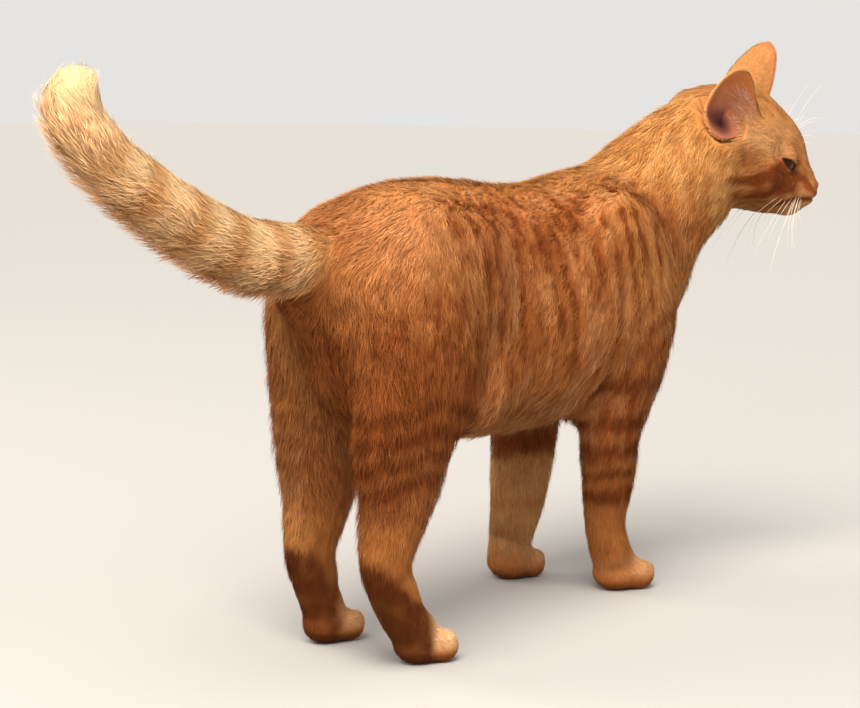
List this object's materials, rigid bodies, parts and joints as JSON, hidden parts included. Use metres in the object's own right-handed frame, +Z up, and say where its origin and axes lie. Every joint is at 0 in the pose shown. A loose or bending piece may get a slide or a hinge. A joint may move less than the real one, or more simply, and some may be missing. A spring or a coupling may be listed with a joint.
{
  "type": "cat",
  "caption": "Life-size standing short-haired tabby cat, tail stretched out behind with its tip curled, head turned to its right and one ear turned back.",
  "frame": {"origin": "middle of the bounding box at the floor under the soles", "axes": "+X from tail to breast along the body, +Y to the cat's left, +Z up"},
  "size_m": [0.6924, 0.152, 0.3561],
  "materials": {
    "tawny_coat": "short tabby fur, tan orange with darker red-brown stripes",
    "golden_coat": "short golden orange fur",
    "cream_coat": "longer cream orange fur with soft rings",
    "brown_coat": "very short dark brown fur",
    "pale_coat": "very short pale peach fur",
    "bare_skin": "pink-brown bare skin of nose and pads, slightly moist",
    "amber_eye": "glossy amber eye"
  },
  "bodies": {
    "root": {"head": "golden_coat", "neck": "golden_coat", "nose": "bare_skin", "ear_left": "golden_coat", "ear_right": "golden_coat", "eye_left": "amber_eye", "eye_right": "amber_eye", "trunk": "tawny_coat", "tail_root": "cream_coat", "tail_middle": "cream_coat", "tail_tip": "cream_coat", "thigh_left": "tawny_coat", "shank_left": "tawny_coat", "hind_foot_left": "brown_coat", "hind_paw_left": "pale_coat", "upper_arm_left": "tawny_coat", "forearm_left": "tawny_coat", "fore_paw_left": "pale_coat", "thigh_right": "tawny_coat", "shank_right": "tawny_coat", "hind_foot_right": "brown_coat", "hind_paw_right": "pale_coat", "upper_arm_right": "tawny_coat", "forearm_right": "tawny_coat", "fore_paw_right": "pale_coat"}
  },
  "joints": []
}
